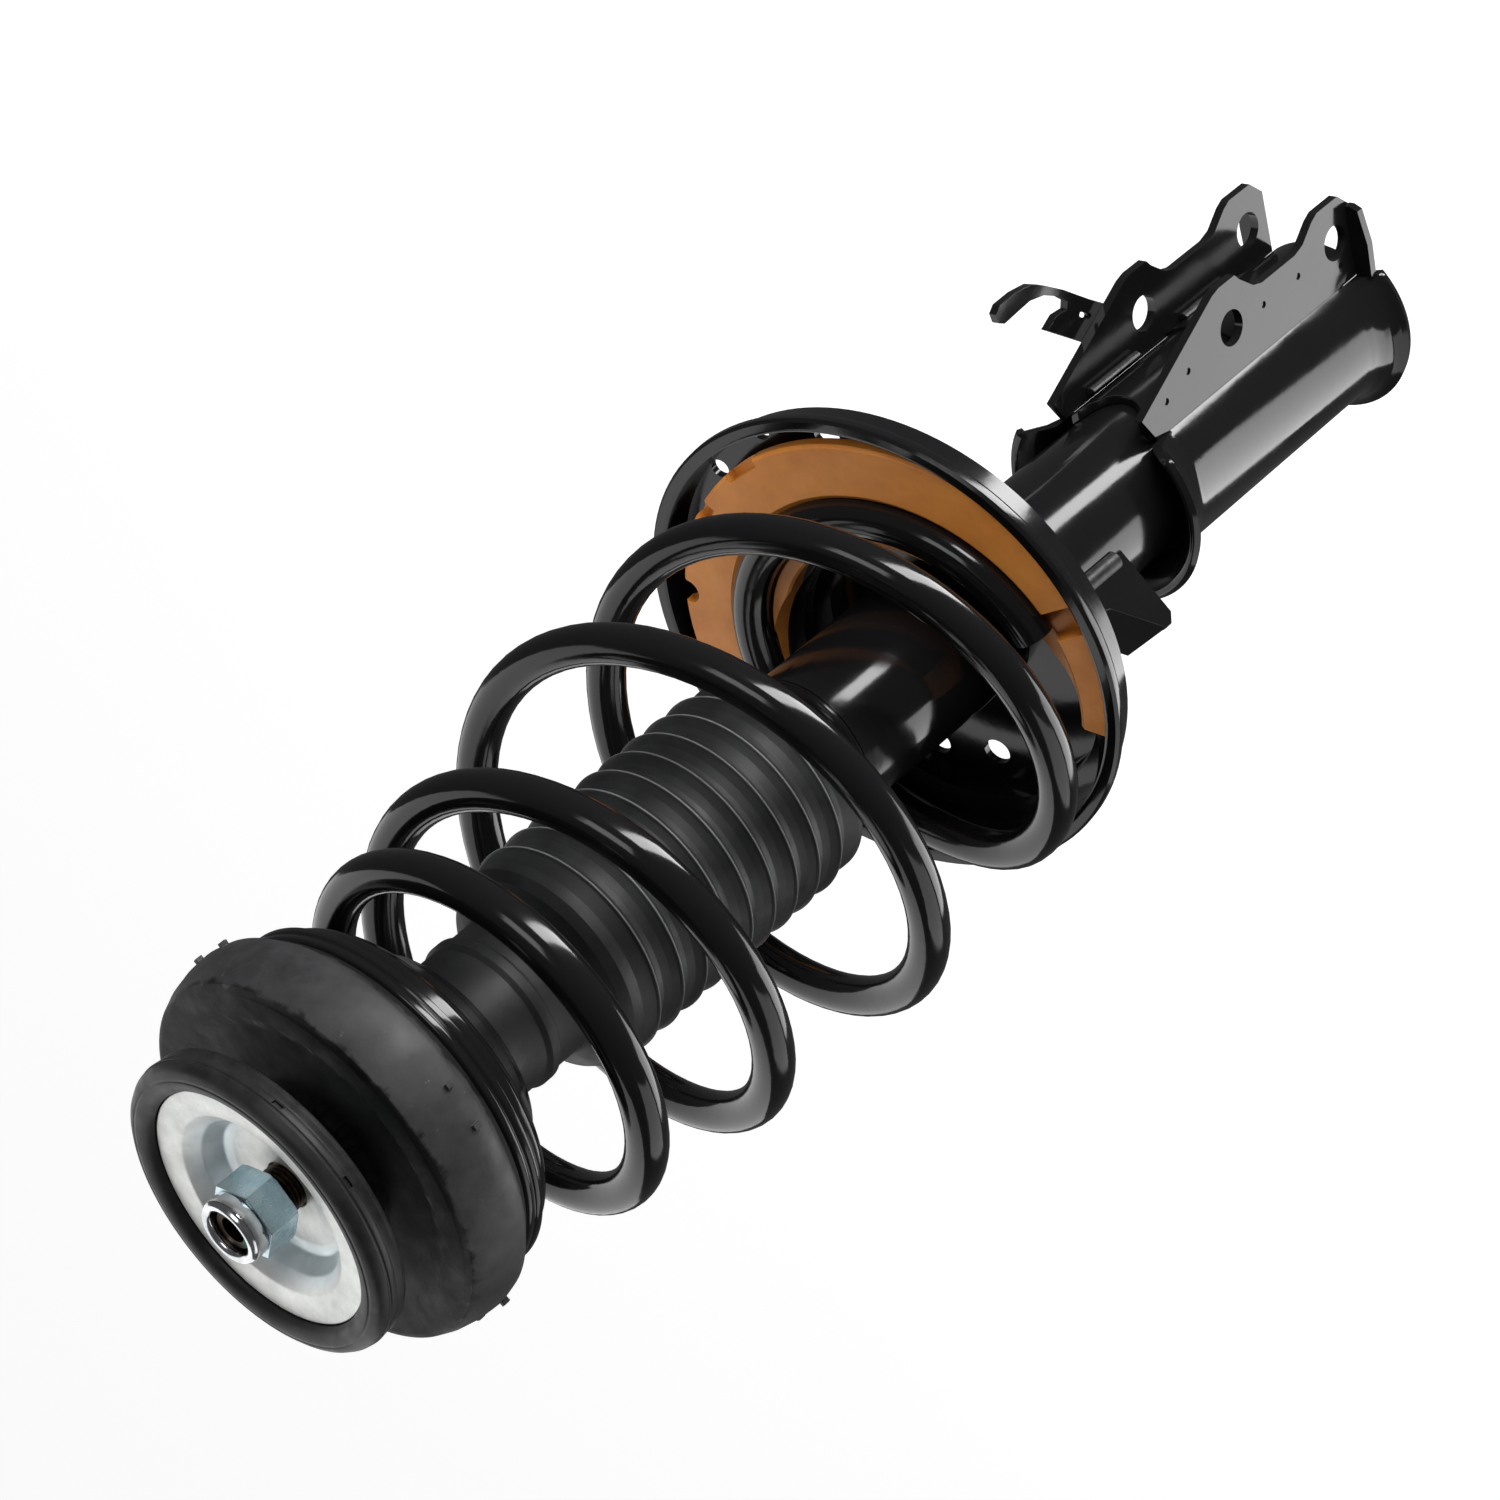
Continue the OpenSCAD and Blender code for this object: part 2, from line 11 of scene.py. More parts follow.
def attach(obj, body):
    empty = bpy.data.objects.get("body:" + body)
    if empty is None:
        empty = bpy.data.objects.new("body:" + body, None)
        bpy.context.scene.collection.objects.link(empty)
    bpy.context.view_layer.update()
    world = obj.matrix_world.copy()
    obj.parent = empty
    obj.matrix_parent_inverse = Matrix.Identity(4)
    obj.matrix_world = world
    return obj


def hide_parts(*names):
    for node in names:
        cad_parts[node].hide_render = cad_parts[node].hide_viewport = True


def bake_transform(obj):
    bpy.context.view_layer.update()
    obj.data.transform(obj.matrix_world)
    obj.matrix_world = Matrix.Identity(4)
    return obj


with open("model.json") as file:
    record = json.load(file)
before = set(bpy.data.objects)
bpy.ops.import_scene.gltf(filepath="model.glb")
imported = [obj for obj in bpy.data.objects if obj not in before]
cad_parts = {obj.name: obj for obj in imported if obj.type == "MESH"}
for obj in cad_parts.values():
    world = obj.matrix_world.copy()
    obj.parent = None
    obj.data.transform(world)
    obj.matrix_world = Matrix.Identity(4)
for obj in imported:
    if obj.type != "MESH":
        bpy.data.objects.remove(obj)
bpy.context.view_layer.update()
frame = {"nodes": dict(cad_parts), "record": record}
MM = 0.001
RECORD = frame["record"]
BODY_OF = {n: b for b, names in RECORD["behaviour"]["bodies"].items() for n in names}
SLOT_OF = {row["node"]: row["material_slot"] for row in RECORD["subparts"]}


# ---- finishes ---------------------------------------------------------------

# sockets of the Mix node when it mixes colours
COLOUR_A = 6
COLOUR_B = 7
COLOUR_RESULT = 2

# places on the strut that finishes change at, in metres from its axis or along it
BAND_FROM_R = 0.0580
BAND_FULL_R = 0.0592
GROOVE_FACE_R = 0.0437
GROOVE_SIDE_Z = 0.0190
# radii at which the tops of the boot's ridges take a painted highlight
RIDGE_HIGHLIGHT_FROM_R = 0.03490
RIDGE_HIGHLIGHT_FULL_R = 0.03518
ROD_SHOULDER_Z = -0.0245
ROD_THREAD_Z = -0.0240
PAINT_DAB_AT = (0.0045, -0.0040, 0.0290)
TOOL_RING = 0.00035


class Finish:
    """A procedural finish that reads Object coordinates, so it stays on the piece."""

    def __init__(self, name, **sockets):
        self.material = bpy.data.materials.new(name)
        self.material.use_nodes = True
        self.nodes = self.material.node_tree.nodes
        self.links = self.material.node_tree.links
        self.shader = self.nodes["Principled BSDF"]
        for socket, value in sockets.items():
            self.shader.inputs[socket.replace("_", " ")].default_value = value
        self.place = self.nodes.new("ShaderNodeTexCoord").outputs["Object"]

    def noise(self, size, detail, roughness=0.55, stretch=(1, 1, 1)):
        """Noise whose blotches are about size metres across."""
        mapping = self.nodes.new("ShaderNodeMapping")
        mapping.inputs["Scale"].default_value = stretch
        self.links.new(self.place, mapping.inputs["Vector"])
        node = self.nodes.new("ShaderNodeTexNoise")
        node.inputs["Scale"].default_value = 1.0 / size
        node.inputs["Detail"].default_value = detail
        node.inputs["Roughness"].default_value = roughness
        self.links.new(mapping.outputs["Vector"], node.inputs["Vector"])
        return node.outputs["Fac"]

    def axis_distance(self):
        """Distance of a point from the strut axis."""
        flat = self.nodes.new("ShaderNodeVectorMath")
        flat.operation = "MULTIPLY"
        flat.inputs[1].default_value = (1, 1, 0)
        self.links.new(self.place, flat.inputs[0])
        length = self.nodes.new("ShaderNodeVectorMath")
        length.operation = "LENGTH"
        self.links.new(flat.outputs["Vector"], length.inputs[0])
        return length.outputs["Value"]

    def height(self):
        """Height of a point along the strut axis."""
        split = self.nodes.new("ShaderNodeSeparateXYZ")
        self.links.new(self.place, split.inputs["Vector"])
        return split.outputs["Z"]

    def spread(self, value, low, high, to_low=0.0, to_high=1.0, smooth=False):
        """Value carried from one range to another."""
        node = self.nodes.new("ShaderNodeMapRange")
        node.interpolation_type = "SMOOTHSTEP" if smooth else "LINEAR"
        limits = {"From Min": low, "From Max": high, "To Min": to_low, "To Max": to_high}
        for socket, number in limits.items():
            node.inputs[socket].default_value = number
        self.links.new(value, node.inputs["Value"])
        return node.outputs["Result"]

    def math(self, operation, a, b=None):
        """One arithmetic step on a value, and on a second one if given, which may be a number."""
        node = self.nodes.new("ShaderNodeMath")
        node.operation = operation
        self.links.new(a, node.inputs[0])
        if isinstance(b, (int, float)):
            node.inputs[1].default_value = b
        elif b is not None:
            self.links.new(b, node.inputs[1])
        return node.outputs["Value"]

    def blend(self, share, low, high):
        """Colour between low and high, either of which may be a colour already made."""
        node = self.nodes.new("ShaderNodeMix")
        node.data_type = "RGBA"
        self.links.new(share, node.inputs["Factor"])
        for socket, colour in ((node.inputs[COLOUR_A], low), (node.inputs[COLOUR_B], high)):
            if isinstance(colour, tuple):
                socket.default_value = (*colour, 1)
            else:
                self.links.new(colour, socket)
        return node.outputs[COLOUR_RESULT]

    def colour(self, output):
        self.links.new(output, self.shader.inputs["Base Color"])
        return self

    def gloss(self, value, low, high):
        """Roughness between low and high as value goes over its middle."""
        self.links.new(self.spread(value, 0.3, 0.7, low, high), self.shader.inputs["Roughness"])
        return self

    def relief(self, value, depth, strength):
        """Bump of the given depth in metres."""
        node = self.nodes.new("ShaderNodeBump")
        node.inputs["Distance"].default_value = depth
        node.inputs["Strength"].default_value = strength
        self.links.new(value, node.inputs["Height"])
        self.links.new(node.outputs["Normal"], self.shader.inputs["Normal"])
        return self


def gloss_black_paint():
    """Wet-looking black coat with a faint orange peel and a little settled dust."""
    f = Finish("gloss_black_paint", IOR=1.45)
    dust = f.spread(f.noise(0.0011, 6, 0.7), 0.69, 0.78)
    f.colour(f.blend(dust, (0.0040, 0.0038, 0.0041), (0.024, 0.023, 0.022)))
    f.gloss(f.noise(0.03, 3), 0.08, 0.17)
    return f.relief(f.noise(0.004, 2, 0.4), 0.00006, 0.35)


def moulded_rubber():
    """Satin black rubber with a fine grain and pale bloom in patches."""
    f = Finish("moulded_rubber", Specular_IOR_Level=0.34)
    bloom = f.spread(f.noise(0.016, 7, 0.68), 0.44, 0.74)
    f.colour(f.blend(bloom, (0.0065, 0.0064, 0.0067), (0.0160, 0.0156, 0.0164)))
    f.gloss(f.noise(0.008, 5), 0.40, 0.58)
    return f.relief(f.noise(0.0009, 5, 0.6), 0.00007, 0.5)


def mount_rubber_finish():
    """Mount rubber: a dusty side band over a darker, oilier face."""
    f = Finish("mount_rubber_finish", Specular_IOR_Level=0.34)
    ragged = f.spread(f.noise(0.007, 5, 0.6), 0.3, 0.7, -0.0011, 0.0011)
    band = f.spread(f.math("ADD", f.axis_distance(), ragged), BAND_FROM_R, BAND_FULL_R, smooth=True)
    wear = f.spread(f.noise(0.013, 8, 0.7), 0.36, 0.72)
    dusty = f.blend(wear, (0.0125, 0.0119, 0.0127), (0.0270, 0.0256, 0.0268))
    scuff = f.spread(f.noise(0.0022, 6, 0.75, (1, 1, 0.5)), 0.665, 0.72)
    dusty = f.blend(scuff, dusty, (0.085, 0.082, 0.080))
    marks = f.spread(f.noise(0.011, 2, 0.4), 0.60, 0.62)
    face = f.blend(marks, (0.0052, 0.0050, 0.0053), (0.0022, 0.0021, 0.0023))
    f.colour(f.blend(band, face, dusty))
    f.links.new(f.spread(band, 0, 1, 0.14, 0.36), f.shader.inputs["Specular IOR Level"])
    f.gloss(f.noise(0.008, 5), 0.44, 0.62)
    return f.relief(f.noise(0.0012, 6, 0.62), 0.00008, 0.5)


def rim_rubber():
    """Rubber edge of the plate, with fine moulded grooves about the axis."""
    f = Finish("rim_rubber", Specular_IOR_Level=0.34)
    bloom = f.spread(f.noise(0.012, 6, 0.65), 0.42, 0.74)
    f.colour(f.blend(bloom, (0.0062, 0.0061, 0.0064), (0.0150, 0.0146, 0.0154)))
    f.gloss(f.noise(0.006, 5), 0.38, 0.54)
    front = f.math("ABSOLUTE", f.math("SUBTRACT", f.axis_distance(), GROOVE_FACE_R))
    side = f.math("ABSOLUTE", f.math("SUBTRACT", f.height(), GROOVE_SIDE_Z))
    groove = f.spread(f.math("MINIMUM", front, side), 0.0001, 0.0006)
    return f.relief(groove, 0.0005, 0.8)


def boot_elastomer():
    """Blow-moulded boot: soft sheen, and a light grey painted highlight along the top of its ridges."""
    f = Finish("boot_elastomer", Specular_IOR_Level=0.40)
    bloom = f.spread(f.noise(0.014, 6, 0.65), 0.42, 0.75)
    body = f.blend(bloom, (0.0055, 0.0057, 0.0059), (0.0115, 0.0119, 0.0121))
    # painted highlight: beyond this radius the tops of the boot's ridges are coloured light grey
    ridge_highlight = f.spread(f.axis_distance(), RIDGE_HIGHLIGHT_FROM_R, RIDGE_HIGHLIGHT_FULL_R, smooth=True)
    f.colour(f.blend(ridge_highlight, body, (0.075, 0.077, 0.077)))
    f.gloss(f.noise(0.009, 5), 0.44, 0.60)
    return f.relief(f.noise(0.0010, 5, 0.6), 0.00008, 0.5)


def clear_zinc_plate():
    """Clear zinc on pressed steel: satin, mottled, with a painted reflection that makes the cup wall a
    brighter, bluish white.
    """
    f = Finish("clear_zinc_plate", Metallic=0.72)
    mottle = f.spread(f.noise(0.010, 8, 0.7), 0.35, 0.68)
    flat = f.blend(mottle, (0.56, 0.57, 0.55), (0.76, 0.77, 0.75))
    # painted reflection: the cup wall between the two radii below is coloured a brighter, bluish white
    cup_reflection_cloud = f.spread(f.noise(0.012, 4), 0.35, 0.65)
    painted_cup_reflection = f.blend(cup_reflection_cloud, (0.62, 0.72, 0.75), (0.86, 0.92, 0.94))
    outer = f.spread(f.axis_distance(), 0.0245, 0.0300, smooth=True)
    inner = f.spread(f.axis_distance(), 0.0190, 0.0225, smooth=True)
    f.colour(f.blend(outer, f.blend(inner, flat, painted_cup_reflection), flat))
    f.gloss(f.noise(0.007, 6), 0.34, 0.50)
    return f.relief(f.noise(0.0008, 5, 0.6), 0.00004, 0.5)


def blue_zinc_nut():
    """Blue-passivated zinc on a forged nut."""
    f = Finish("blue_zinc_nut", Metallic=1.0)
    cloud = f.spread(f.noise(0.006, 5, 0.6), 0.34, 0.68)
    f.colour(f.blend(cloud, (0.38, 0.51, 0.55), (0.64, 0.75, 0.78)))
    f.gloss(f.noise(0.003, 5), 0.20, 0.38)
    return f.relief(f.noise(0.0009, 4, 0.6), 0.00003, 0.5)


def weld_bead():
    """Painted weld with a rippled skin."""
    f = Finish("weld_bead", IOR=1.45)
    ripple = f.noise(0.0024, 3, 0.5, (0.4, 0.4, 1.6))
    f.colour(f.blend(f.spread(ripple, 0.4, 0.65), (0.0040, 0.0038, 0.0041), (0.012, 0.0115, 0.011)))
    f.gloss(f.noise(0.003, 5), 0.38, 0.52)
    return f.relief(ripple, 0.00015, 0.6)


def threaded_rod_finish():
    """Chromed rod below the shoulder; dark oiled thread with a dab of green marking paint above."""
    f = Finish("threaded_rod_finish", Metallic=1.0)
    shoulder = f.spread(f.height(), ROD_SHOULDER_Z, ROD_THREAD_Z)
    film = f.spread(f.noise(0.003, 6, 0.7), 0.35, 0.7)
    oil = f.blend(film, (0.012, 0.008, 0.006), (0.075, 0.045, 0.028))
    cloud = f.spread(f.noise(0.02, 3), 0.3, 0.7)
    chrome = f.blend(cloud, (0.56, 0.57, 0.58), (0.70, 0.71, 0.72))
    place = f.nodes.new("ShaderNodeVectorMath")
    place.operation = "DISTANCE"
    place.inputs[1].default_value = PAINT_DAB_AT
    f.links.new(f.place, place.inputs[0])
    dab = f.spread(place.outputs["Value"], 0.0021, 0.0026, 1.0, 0.0)
    f.colour(f.blend(dab, f.blend(shoulder, chrome, oil), (0.004, 0.075, 0.045)))
    f.links.new(f.spread(shoulder, 0, 1, 0.09, 0.42), f.shader.inputs["Roughness"])
    return f.relief(f.noise(0.0012, 4), 0.00003, 0.4)


def turned_steel(name, dark, light, low, high):
    """Steel off a lathe: fine tool rings about the axis and a cloudy sheen."""
    f = Finish(name, Metallic=1.0)
    cloud = f.spread(f.noise(0.006, 5), 0.34, 0.70)
    f.colour(f.blend(cloud, dark, light))
    f.gloss(f.noise(0.0025, 5), low, high)
    return f.relief(f.noise(TOOL_RING * 3, 3, 0.5, (0.05, 0.05, 1)), 0.00002, 0.4)


def orange_elastomer():
    """Moulded orange pad with darker, slightly dirty patches."""
    f = Finish("orange_elastomer", Specular_IOR_Level=0.35, IOR=1.48)
    cloud = f.spread(f.noise(0.018, 6, 0.6), 0.34, 0.70)
    body = f.blend(cloud, (0.47, 0.160, 0.026), (0.62, 0.235, 0.042))
    grime = f.spread(f.noise(0.006, 7, 0.7), 0.64, 0.74, 0.0, 0.5)
    f.colour(f.blend(grime, body, (0.20, 0.075, 0.012)))
    f.gloss(f.noise(0.006, 5), 0.36, 0.52)
    return f.relief(f.noise(0.0014, 5, 0.6), 0.00010, 0.5)


def cellular_foam():
    """Closed-cell bump stop foam."""
    f = Finish("cellular_foam", Specular_IOR_Level=0.3)
    cells = f.noise(0.0016, 6, 0.75)
    f.colour(f.blend(f.spread(cells, 0.35, 0.65), (0.26, 0.15, 0.045), (0.44, 0.28, 0.10)))
    f.gloss(f.noise(0.004, 4), 0.68, 0.85)
    return f.relief(cells, 0.0002, 0.6)


def filled_plastic():
    """Dark filled plastic of the cage and piston band."""
    f = Finish("filled_plastic")
    flow = f.spread(f.noise(0.005, 5), 0.35, 0.68)
    f.colour(f.blend(flow, (0.018, 0.022, 0.022), (0.036, 0.042, 0.041)))
    f.gloss(f.noise(0.003, 4), 0.38, 0.55)
    return f.relief(f.noise(0.0008, 4), 0.00004, 0.4)


def sintered_iron():
    """Pressed and sintered iron with open pores."""
    f = Finish("sintered_iron", Metallic=0.85)
    pores = f.noise(0.0007, 6, 0.75)
    f.colour(f.blend(f.spread(pores, 0.35, 0.66), (0.07, 0.07, 0.075), (0.19, 0.19, 0.20)))
    f.gloss(f.noise(0.003, 4), 0.46, 0.66)
    return f.relief(pores, 0.00007, 0.6)


FINISHES = {
    "black_paint": gloss_black_paint(),
    "black_plastic": gloss_black_paint(),
    "black_rubber": moulded_rubber(),
    "boot_plastic": boot_elastomer(),
    "zinc_plate": clear_zinc_plate(),
    "zinc_nut": blue_zinc_nut(),
    "bright_steel": turned_steel("bright_steel", (0.52, 0.53, 0.54), (0.78, 0.79, 0.80), 0.12, 0.24),
    "dark_steel": turned_steel("dark_steel", (0.10, 0.10, 0.11), (0.24, 0.24, 0.25), 0.30, 0.46),
    "bearing_steel": turned_steel("bearing_steel", (0.40, 0.41, 0.43), (0.62, 0.63, 0.65), 0.16, 0.28),
    "chromed_rod": turned_steel("chromed_rod", (0.58, 0.59, 0.60), (0.72, 0.73, 0.74), 0.06, 0.14),
    "sintered_iron": sintered_iron(),
    "band_plastic": filled_plastic(),
    "bump_foam": cellular_foam(),
    "bush_bronze": turned_steel("bush_bronze", (0.34, 0.22, 0.08), (0.52, 0.36, 0.15), 0.28, 0.42),
    "orange_pad": orange_elastomer(),
}
MOUNT_FINISH = mount_rubber_finish()
RIM_FINISH = rim_rubber()
ROD_FINISH = threaded_rod_finish()
WELD_FINISH = weld_bead()


# ---- making pieces ----------------------------------------------------------

LATHE_STEPS = 144
FLAT_ANGLE = 0.6
CORNER_ANGLE = 32.0
BROKEN_EDGE_ANGLE = 50.0


def finished(name, bm, node, sharp, finish=None, rides=True):
    """Turns a bmesh into a piece that stands for a CAD node, and rides on its body unless told not to."""
    mesh = bpy.data.meshes.new(name)
    bm.to_mesh(mesh)
    bm.free()
    mesh.polygons.foreach_set("use_smooth", [True] * len(mesh.polygons))
    mesh.set_sharp_from_angle(angle=math.radians(sharp))
    piece = bpy.data.objects.new(name, mesh)
    bpy.context.scene.collection.objects.link(piece)
    mesh.materials.append((finish or FINISHES[SLOT_OF[node]]).material)
    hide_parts(node)
    if rides:
        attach(piece, BODY_OF[node])
    return piece


def turned(name, node, outline, rounding=0.0, sharp=35.0, finish=None):
    """Piece of revolution from an outline of (radius, height) pairs in millimetres."""
    bm = bmesh.new()
    corners = [bm.verts.new((r * MM, 0, z * MM)) for r, z in outline]
    for a, b in zip(corners, corners[1:] + corners[:1]):
        bm.edges.new((a, b))
    if rounding:
        bmesh.ops.bevel(bm, geom=corners, offset=rounding * MM, segments=3, affect="VERTICES",
                        profile=0.5, material=-1, clamp_overlap=True)
    bmesh.ops.spin(bm, geom=bm.verts[:] + bm.edges[:], axis=(0, 0, 1), cent=(0, 0, 0),
                   angle=2 * math.pi, steps=LATHE_STEPS, use_merge=True)
    bmesh.ops.remove_doubles(bm, verts=bm.verts[:], dist=1e-6)
    bmesh.ops.recalc_face_normals(bm, faces=bm.faces[:])
    return finished(name, bm, node, sharp, finish)


def edge_broken(name, node, radius, segments=2, finish=None):
    """Copy of a CAD node with its sharp edges rounded, or a plain copy if radius is 0."""
    bm = bmesh.new()
    bm.from_mesh(frame["nodes"][node].data)
    bmesh.ops.remove_doubles(bm, verts=bm.verts[:], dist=2e-6)
    if not radius:
        return finished(name, bm, node, CORNER_ANGLE, finish)
    bmesh.ops.dissolve_limit(bm, angle_limit=math.radians(FLAT_ANGLE), verts=bm.verts[:],
                             edges=bm.edges[:])
    limit = math.radians(CORNER_ANGLE)
    sharp_edges = [e for e in bm.edges if len(e.link_faces) == 2 and e.calc_face_angle() > limit]
    if sharp_edges:
        bmesh.ops.bevel(bm, geom=sharp_edges, offset=radius * MM, segments=segments, affect="EDGES",
                        profile=0.5, material=-1, clamp_overlap=True)
    piece = finished(name, bm, node, BROKEN_EDGE_ANGLE, finish)
    weighted = piece.modifiers.new("even_shading", "WEIGHTED_NORMAL")
    weighted.keep_sharp = True
    return piece


# ---- coil spring ------------------------------------------------------------

WIRE_R = 6.23
WIRE_SIDES = 28
GROOVE_R = 55.0
DISH_Z = -261.5
DISH_LEAN = math.tan(math.radians(7.4))
DISH_DIR = math.radians(-19.5)
FIRST_TURN = -0.8
LAST_TURN = 3.8
RINGS_PER_TURN = 72
START_ANGLE = 309
DRIFT_PER_TURN = 1.6
# turns at which the wire starts to move out of the seat's groove and up from it
MOVES_OUT = -0.3
MOVES_UP = -0.28
EASE_TURNS = 0.3
SLOPE_STEP = 0.01
# height and radius of the wire centre at each half turn, from half a turn below the start
COIL_ROWS = [(-258, 55), (-254.5, 66), (-211, 73), (-185, 71.5), (-149, 72.5),
             (-119, 66.5), (-92, 60), (-69, 58.5), (-62, 55.5), (-58, 53)]


def ease(u):
    """Smooth step from 0 to 1."""
    u = max(0.0, min(1.0, u))
    return u * u * (3 - 2 * u)


def coil_curve(turn, column):
    """Smooth value of a column of COIL_ROWS at a turn."""
    x = (turn + 0.5) * 2
    i = math.floor(x)
    u = x - i
    a, b, c, d = (COIL_ROWS[max(0, min(len(COIL_ROWS) - 1, i + k))][column] for k in (-1, 0, 1, 2))
    return b + 0.5 * u * (c - a + u * (2 * a - 5 * b + 4 * c - d + u * (3 * (b - c) + d - a)))


def coil_angle(turn):
    """Angle about the strut axis at a turn."""
    return math.radians(START_ANGLE + 360 * turn)


def coil_point(turn):
    """Centre of the wire at a turn, in millimetres."""
    angle = coil_angle(turn)
    radius = GROOVE_R
    if turn >= MOVES_OUT:
        radius += (coil_curve(turn, 1) - GROOVE_R) * ease((turn - MOVES_OUT) / EASE_TURNS)
    x = DRIFT_PER_TURN * max(0.0, turn) + radius * math.cos(angle)
    y = radius * math.sin(angle)
    seat = DISH_Z - DISH_LEAN * (x * math.cos(DISH_DIR) + y * math.sin(DISH_DIR))
    free = ease((turn - MOVES_UP) / EASE_TURNS)
    return Vector((x, y, (1 - free) * seat + free * coil_curve(turn, 0)))


def coil_spring():
    """Round wire carried along the coil's line, with a flat face at each cut end."""
    count = round((LAST_TURN - FIRST_TURN) * RINGS_PER_TURN)
    bm = bmesh.new()
    rings = []
    for i in range(count + 1):
        turn = FIRST_TURN + (LAST_TURN - FIRST_TURN) * i / count
        along = (coil_point(turn + SLOPE_STEP) - coil_point(turn - SLOPE_STEP)).normalized()
        out = Vector((math.cos(coil_angle(turn)), math.sin(coil_angle(turn)), 0))
        out = (out - along * along.dot(out)).normalized()
        turned_to = Matrix((out, along.cross(out), along)).transposed().to_4x4()
        turned_to.translation = coil_point(turn) * MM
        made = bmesh.ops.create_circle(bm, cap_ends=i in (0, count), segments=WIRE_SIDES,
                                       radius=WIRE_R * MM, matrix=turned_to)
        rings.append(made["verts"])
    for a, b in zip(rings, rings[1:]):
        edges = [e for ring in (a, b) for e in {e for v in ring for e in v.link_edges}
                 if e.verts[0] in ring and e.verts[1] in ring]
        bmesh.ops.bridge_loops(bm, edges=edges)
    bmesh.ops.recalc_face_normals(bm, faces=bm.faces[:])
    piece = finished("spring_coil", bm, "coil_spring", 40.0, rides=False)
    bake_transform(piece)


# ---- mount, nut and plate -----------------------------------------------------


def top_mount():
    """Nut, plate, rubber mount, bearing cover and upper seat."""
    turned("turned_collar", "nut_collar",
           [(7.1, 26), (10.2, 26), (10.2, 30.6), (9.3, 32), (8.2, 32), (7.1, 31)], 0.5)
    edge_broken("hex_nut", "lock_nut", 0.35)
    turned("pressed_plate", "rebound_plate",
           [(7.2, 6.5), (21.5, 6.5), (24.5, 8), (27.5, 13.5), (30.5, 16.6), (38.5, 17.6), (38.5, 20),
            (29.8, 19.2), (25.6, 15.4), (22.6, 10.2), (20.4, 9), (7.2, 9)], 0.55, sharp=60)
    edge_broken("plate_edge_rubber", "plate_rim", 0.35, 3, RIM_FINISH)
    edge_broken("mount_block", "mount_rubber", 0.5, 3, MOUNT_FINISH)
    turned("bearing_shroud", "bearing_cover",
           [(14, -24.6), (55.2, -24.6), (56.8, -25.8), (56.8, -27.4), (56, -28.2), (56.8, -29),
            (56.8, -31), (54.3, -31), (54.3, -28.2), (51.1, -28.2), (14, -28.2)], 0.45)
    turned("spring_cup", "upper_seat_shell",
           [(53.7, -31.2), (53.7, -35.4), (51.4, -38), (46, -41.6), (38, -47.8), (34.6, -51.6),
            (31, -53), (15, -53), (15, -50.2), (30, -50.2), (32.2, -49), (36, -44.6), (38.8, -41.8),
            (38.8, -37), (51, -37), (51.3, -31.2)], 0.8, sharp=55)


def rod_with_thread():
    """Piston rod with a cut thread on its upper end."""
    pitch = 1.5
    crest = 7.0
    root = 6.25
    thread_top = 27.8
    crests = 34
    thread = []
    for k in range(crests):
        z = thread_top - pitch * k
        thread += [(crest, z), (crest, z - 0.35), (root, z - 0.85), (root, z - 1.0)]
    outline = [(0, 21), (4.05, 21), (4.05, 29.4), (6.1, 29.4)] + thread
    outline += [(7, -24.2), (10, -24.2), (10, -251.8), (8.8, -251.8), (8.8, -254.6), (10, -254.6),
                (10, -272), (6, -272), (6, -305), (5, -306), (0, -306)]
    turned("threaded_rod", "piston_rod", outline, sharp=30, finish=ROD_FINISH)


def dust_boot():
    """Bellows with thin raised lines on its ridges, hung from a plain neck."""
    pitch = 10.2
    first = -105.0
    ridges = 9
    wall = 2.1
    outer = [(26.6, -53.1), (26.6, -55.4), (23.4, -57.6), (23.4, -70), (24.6, -71.4), (24.6, -74.4),
             (23.4, -75.8), (23.4, -86.5), (25.2, -89.5), (31.6, -92.6), (33.6, -95.6), (33.4, -99.6)]
    for k in range(ridges):
        top = first - pitch * k
        outer += [(34.4, top + 0.9), (35.2, top + 0.25), (35.2, top - 0.15), (34.2, top - 0.6),
                  (32.8, top - 2.4), (32.5, top - 4.4), (33.2, top - 7.2)]
    last = first - pitch * (ridges - 1)
    outer += [(33.8, last - 9.6), (33.8, last - 11.4)]
    inner = [(r - wall, z) for r, z in reversed(outer)]
    turned("bellows", "dust_boot", outer + inner, 0.12, sharp=60)


TUBE_TOP = -209
TUBE_FOOT = -485
# pieces of the lower end that are CAD nodes with their edges broken, by node
EDGED_STEEL = {
    "ear_right": "right_ear",
    "ear_left": "left_ear",
    "clevis_brace": "ear_web",
    "hose_bracket": "hose_hook",
    "link_bracket": "link_tab",
    "seat_hub": "seat_collar",
    "base_cap": "tube_end",
    "seat_ramp": "seat_step",
}


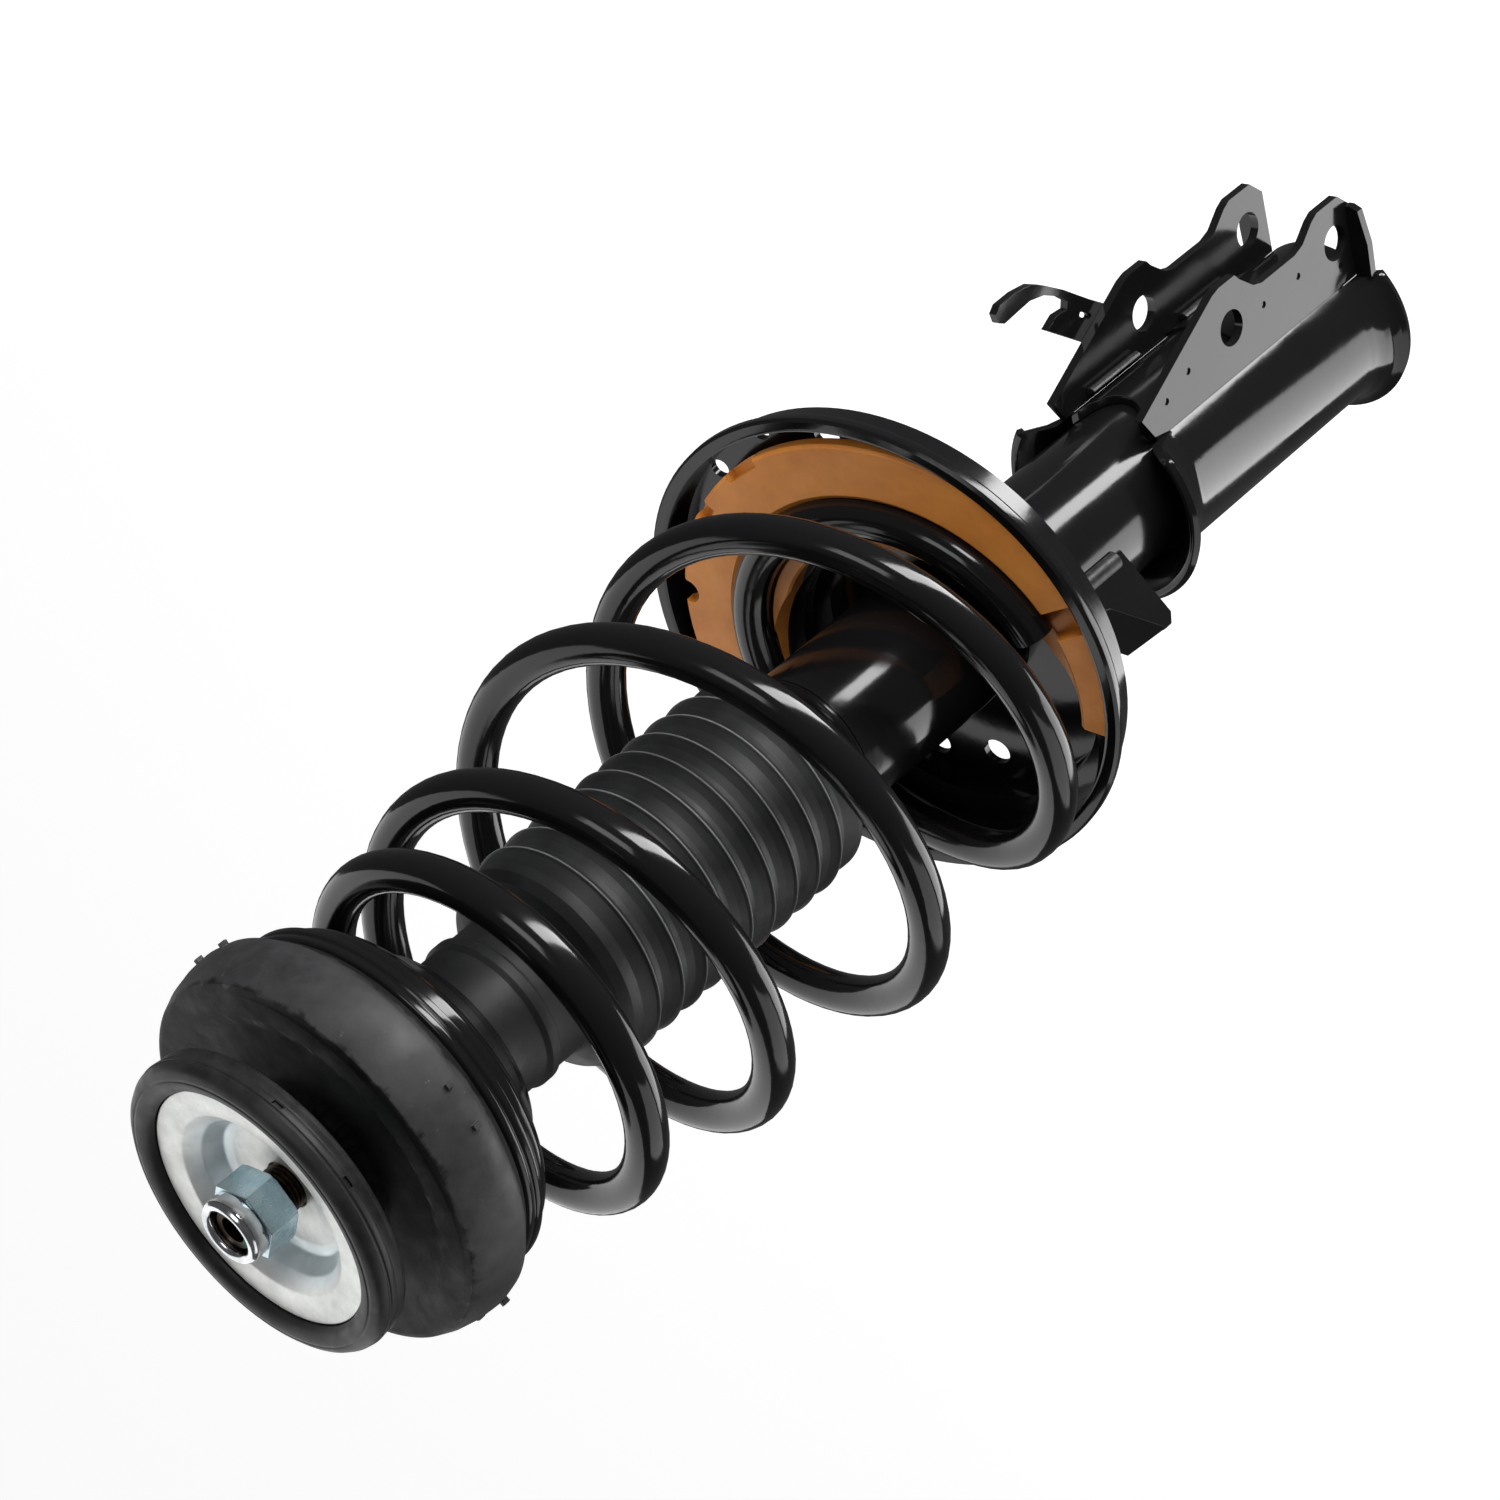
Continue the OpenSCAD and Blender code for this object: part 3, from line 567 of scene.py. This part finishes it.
def lower_end():
    """Tube, lower seat, pad, clevis and brackets, and the upper seat's step."""
    top = TUBE_TOP
    turned("tube_shell", "outer_tube",
           [(22.7, top - 4.1), (25, top - 4.1), (25, TUBE_FOOT), (22.7, TUBE_FOOT)], 0.2)
    turned("tube_shoulder", "tube_cap",
           [(11, top), (19.6, top), (23, top - 0.9), (24.6, top - 2.6), (25, top - 4),
            (22.6, top - 4), (20.4, top - 2.8), (11, top - 2.8)], 0.5, sharp=60)
    edge_broken("pressed_seat", "lower_seat", 0.5)
    edge_broken("spring_pad", "insulator", 0.6, 3)
    for node, name in EDGED_STEEL.items():
        edge_broken(name, node, 0.45)
    edge_broken("tube_saddle", "clevis_wrap", 0)
    edge_broken("ear_fillets", "clevis_welds", 0.9, 3, WELD_FINISH)
    edge_broken("tab_fillet", "link_weld", 0.9, 3, WELD_FINISH)


def carried_over():
    """CAD nodes that stay as they are take the finish of their slot."""
    for node, obj in frame["nodes"].items():
        obj.data.materials.clear()
        finish = WELD_FINISH if node.endswith(("weld", "welds")) else FINISHES[SLOT_OF[node]]
        obj.data.materials.append(finish.material)


# ---- studio -------------------------------------------------------------------

CAMERA_AT = Vector((0.7590, 0.6285, 0.47475))
CAMERA_RIGHT = Vector((0.7386, -0.2218, -0.6366))
CAMERA_UP = Vector((-0.2058, 0.8249, -0.5264))
CAMERA_BACK = Vector((0.6419, 0.5198, 0.5637))
STRUT_MIDDLE = Vector((0, 0, -0.23))
FLOOR_Z = -1.05
FLOOR_SIZE = 60
SENSOR_WIDTH = 36
LENS = 96
NEAREST = 0.01
FARTHEST = 200
AIR_COLOUR = (0.95, 0.96, 1, 1)
AIR_STRENGTH = 0.09


def studio_floor():
    """Plain pale floor well under the strut, lit by itself and hidden from reflections."""
    bm = bmesh.new()
    bmesh.ops.create_grid(bm, x_segments=2, y_segments=2, size=FLOOR_SIZE,
                          matrix=Matrix.Translation((0, 0, FLOOR_Z)))
    mesh = bpy.data.meshes.new("studio_floor")
    bm.to_mesh(mesh)
    bm.free()
    floor = bpy.data.objects.new("studio_floor", mesh)
    bpy.context.scene.collection.objects.link(floor)
    f = Finish("studio_white", Roughness=0.9, Emission_Color=(1, 1, 1, 1), Emission_Strength=0.90)
    f.colour(f.blend(f.noise(0.5, 2), (0.40, 0.40, 0.40), (0.42, 0.42, 0.42)))
    mesh.materials.append(f.material)
    floor.visible_glossy = False


def softbox(name, across, up, back, distance, width, height, glow, shiny=True):
    """Soft panel placed across, up and back of the strut along the camera's own directions.

    glow is the panel's radiance, whatever its size. A panel that isn't shiny adds no highlight.
    """
    direction = (CAMERA_RIGHT * across + CAMERA_UP * up + CAMERA_BACK * back).normalized()
    data = bpy.data.lights.new(name, "AREA")
    data.shape = "RECTANGLE"
    data.size = width
    data.size_y = height
    data.energy = glow * math.pi * width * height
    lamp = bpy.data.objects.new(name, data)
    bpy.context.scene.collection.objects.link(lamp)
    lamp.location = STRUT_MIDDLE + direction * distance
    lamp.rotation_euler = (-direction).to_track_quat("-Z", "Y").to_euler()
    lamp.visible_camera = False
    lamp.visible_glossy = shiny


def studio_air():
    """Faint even light from all round."""
    world = bpy.data.worlds.new("studio_air")
    world.use_nodes = True
    background = world.node_tree.nodes["Background"]
    background.inputs["Color"].default_value = AIR_COLOUR
    background.inputs["Strength"].default_value = AIR_STRENGTH
    bpy.context.scene.world = world


def studio_camera():
    """Camera at the side the strut is shown from."""
    data = bpy.data.cameras.new("studio_camera")
    data.sensor_width = SENSOR_WIDTH
    data.lens = LENS
    data.clip_start = NEAREST
    data.clip_end = FARTHEST
    camera = bpy.data.objects.new("studio_camera", data)
    bpy.context.scene.collection.objects.link(camera)
    turn = Matrix((CAMERA_RIGHT, CAMERA_UP, CAMERA_BACK)).transposed().to_4x4()
    camera.matrix_world = Matrix.Translation(CAMERA_AT) @ turn
    bpy.context.scene.camera = camera


def studio():
    """Floor, air, lights and camera."""
    studio_floor()
    studio_air()
    softbox("key_strip", 0.50, 0.85, 0.40, 0.95, 0.24, 1.4, 14)
    softbox("front_panel", -0.45, 0.10, 1.0, 1.4, 0.5, 0.5, 3)
    softbox("low_table", 0.75, -1.0, 0.05, 1.1, 0.9, 0.9, 1.3)
    softbox("ear_panel", 0.96, -0.12, -0.26, 1.0, 0.7, 0.7, 4.0)
    softbox("plate_panel", -0.71, -0.59, -0.37, 0.9, 1.5, 1.5, 1.25)
    softbox("top_fill", 0.10, 0.80, 0.90, 1.5, 0.9, 0.9, 11, shiny=False)
    softbox("left_fill", -0.90, 0.20, 0.50, 1.5, 0.8, 0.8, 2.5, shiny=False)
    bpy.context.scene.view_settings.view_transform = "Standard"
    studio_camera()


carried_over()
top_mount()
rod_with_thread()
dust_boot()
coil_spring()
lower_end()
studio()
